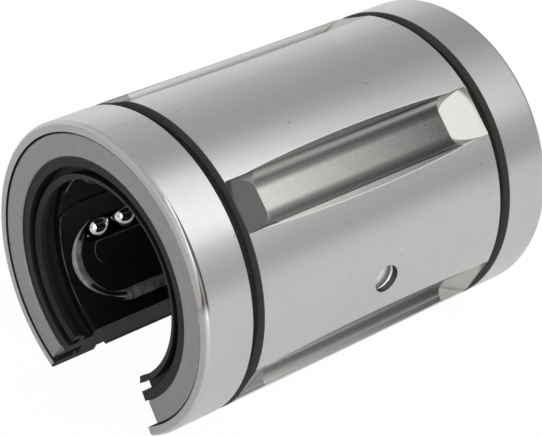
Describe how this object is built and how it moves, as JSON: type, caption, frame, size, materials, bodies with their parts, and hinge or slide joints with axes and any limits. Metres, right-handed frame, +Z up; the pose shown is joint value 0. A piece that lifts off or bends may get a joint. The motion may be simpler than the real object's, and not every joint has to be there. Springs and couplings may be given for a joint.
{
  "type": "open linear ball bushing",
  "caption": "Open linear ball bushing: slotted steel sleeve with ball circuits, plastic cage, end rings and lip seals, for a 25 mm shaft on a support rail.",
  "frame": {"origin": "on the bore's axis, halfway between the two ends", "axes": "+Y along the bore from the end shown in front to the rear end, +Z up, the slot opens towards -Z"},
  "size_m": [0.04, 0.058, 0.0373],
  "materials": {
    "ground_steel": "cylindrically ground bearing steel with matte stamped recesses and dark grooves",
    "end_ring_steel": "fine turned steel, dull grey",
    "black_plastic": "black moulded engineering plastic, satin",
    "black_rubber": "dark grey nitrile rubber",
    "bearing_steel": "polished bearing balls"
  },
  "bodies": {
    "housing": {"sleeve": "ground_steel", "ball_cage": "black_plastic", "front_end_ring": "end_ring_steel", "rear_end_ring": "end_ring_steel", "front_wiper_seal": "black_rubber", "rear_wiper_seal": "black_rubber"},
    "circuit_1_loaded_row": {"circuit_1_loaded_row": "bearing_steel"},
    "circuit_1_return_row": {"circuit_1_return_row": "bearing_steel"},
    "circuit_1_front_turn": {"circuit_1_front_turn": "bearing_steel"},
    "circuit_1_rear_turn": {"circuit_1_rear_turn": "bearing_steel"},
    "circuit_2_loaded_row": {"circuit_2_loaded_row": "bearing_steel"},
    "circuit_2_return_row": {"circuit_2_return_row": "bearing_steel"},
    "circuit_2_front_turn": {"circuit_2_front_turn": "bearing_steel"},
    "circuit_2_rear_turn": {"circuit_2_rear_turn": "bearing_steel"},
    "circuit_3_loaded_row": {"circuit_3_loaded_row": "bearing_steel"},
    "circuit_3_return_row": {"circuit_3_return_row": "bearing_steel"},
    "circuit_3_front_turn": {"circuit_3_front_turn": "bearing_steel"},
    "circuit_3_rear_turn": {"circuit_3_rear_turn": "bearing_steel"},
    "circuit_4_loaded_row": {"circuit_4_loaded_row": "bearing_steel"},
    "circuit_4_return_row": {"circuit_4_return_row": "bearing_steel"},
    "circuit_4_front_turn": {"circuit_4_front_turn": "bearing_steel"},
    "circuit_4_rear_turn": {"circuit_4_rear_turn": "bearing_steel"}
  },
  "joints": [
    {"name": "circuit_1_loaded_run", "type": "slide", "parent": "housing", "child": "circuit_1_loaded_row", "axis": [0, 1, 0], "range_m": [-0.00315, 0.00115]},
    {"name": "circuit_1_return_run", "type": "slide", "parent": "housing", "child": "circuit_1_return_row", "axis": [0, 1, 0], "range_m": [-0.00115, 0.00315]},
    {"name": "circuit_1_front_turn_swing", "type": "hinge", "parent": "housing", "child": "circuit_1_front_turn", "pos_m": [0.01412, -0.0172, -0.00288], "axis": [-0.9243, -0.225, 0.3082], "range_deg": [-16.2, 44.2]},
    {"name": "circuit_1_rear_turn_swing", "type": "hinge", "parent": "housing", "child": "circuit_1_rear_turn", "pos_m": [0.01412, 0.0172, -0.00288], "axis": [0.9243, -0.225, -0.3082], "range_deg": [-44.2, 16.2]},
    {"name": "circuit_2_loaded_run", "type": "slide", "parent": "housing", "child": "circuit_2_loaded_row", "axis": [0, 1, 0], "range_m": [-0.00315, 0.00115]},
    {"name": "circuit_2_return_run", "type": "slide", "parent": "housing", "child": "circuit_2_return_row", "axis": [0, 1, 0], "range_m": [-0.00115, 0.00315]},
    {"name": "circuit_2_front_turn_swing", "type": "hinge", "parent": "housing", "child": "circuit_2_front_turn", "pos_m": [0.0071, -0.0172, 0.01254], "axis": [-0.5788, -0.225, -0.7839], "range_deg": [-16.2, 44.2]},
    {"name": "circuit_2_rear_turn_swing", "type": "hinge", "parent": "housing", "child": "circuit_2_rear_turn", "pos_m": [0.0071, 0.0172, 0.01254], "axis": [0.5788, -0.225, 0.7839], "range_deg": [-44.2, 16.2]},
    {"name": "circuit_3_loaded_run", "type": "slide", "parent": "housing", "child": "circuit_3_loaded_row", "axis": [0, 1, 0], "range_m": [-0.00315, 0.00115]},
    {"name": "circuit_3_return_run", "type": "slide", "parent": "housing", "child": "circuit_3_return_row", "axis": [0, 1, 0], "range_m": [-0.00115, 0.00315]},
    {"name": "circuit_3_front_turn_swing", "type": "hinge", "parent": "housing", "child": "circuit_3_front_turn", "pos_m": [-0.00973, -0.0172, 0.01063], "axis": [0.5667, -0.225, -0.7927], "range_deg": [-16.2, 44.2]},
    {"name": "circuit_3_rear_turn_swing", "type": "hinge", "parent": "housing", "child": "circuit_3_rear_turn", "pos_m": [-0.00973, 0.0172, 0.01063], "axis": [-0.5667, -0.225, 0.7927], "range_deg": [-44.2, 16.2]},
    {"name": "circuit_4_loaded_run", "type": "slide", "parent": "housing", "child": "circuit_4_loaded_row", "axis": [0, 1, 0], "range_m": [-0.00315, 0.00115]},
    {"name": "circuit_4_return_run", "type": "slide", "parent": "housing", "child": "circuit_4_return_row", "axis": [0, 1, 0], "range_m": [-0.00115, 0.00315]},
    {"name": "circuit_4_front_turn_swing", "type": "hinge", "parent": "housing", "child": "circuit_4_front_turn", "pos_m": [-0.01312, -0.0172, -0.00597], "axis": [0.929, -0.225, 0.294], "range_deg": [-16.2, 44.2]},
    {"name": "circuit_4_rear_turn_swing", "type": "hinge", "parent": "housing", "child": "circuit_4_rear_turn", "pos_m": [-0.01312, 0.0172, -0.00597], "axis": [-0.929, -0.225, -0.294], "range_deg": [-44.2, 16.2]}
  ],
  "couplings": [
    {"joint": "circuit_1_return_run", "follows": "circuit_1_loaded_run", "ratio": -1},
    {"joint": "circuit_1_front_turn_swing", "follows": "circuit_1_loaded_run", "rad_per_m": -243.53},
    {"joint": "circuit_1_rear_turn_swing", "follows": "circuit_1_loaded_run", "rad_per_m": 243.53},
    {"joint": "circuit_2_return_run", "follows": "circuit_2_loaded_run", "ratio": -1},
    {"joint": "circuit_2_front_turn_swing", "follows": "circuit_2_loaded_run", "rad_per_m": -243.53},
    {"joint": "circuit_2_rear_turn_swing", "follows": "circuit_2_loaded_run", "rad_per_m": 243.53},
    {"joint": "circuit_3_return_run", "follows": "circuit_3_loaded_run", "ratio": -1},
    {"joint": "circuit_3_front_turn_swing", "follows": "circuit_3_loaded_run", "rad_per_m": -243.53},
    {"joint": "circuit_3_rear_turn_swing", "follows": "circuit_3_loaded_run", "rad_per_m": 243.53},
    {"joint": "circuit_4_return_run", "follows": "circuit_4_loaded_run", "ratio": -1},
    {"joint": "circuit_4_front_turn_swing", "follows": "circuit_4_loaded_run", "rad_per_m": -243.53},
    {"joint": "circuit_4_rear_turn_swing", "follows": "circuit_4_loaded_run", "rad_per_m": 243.53}
  ]
}
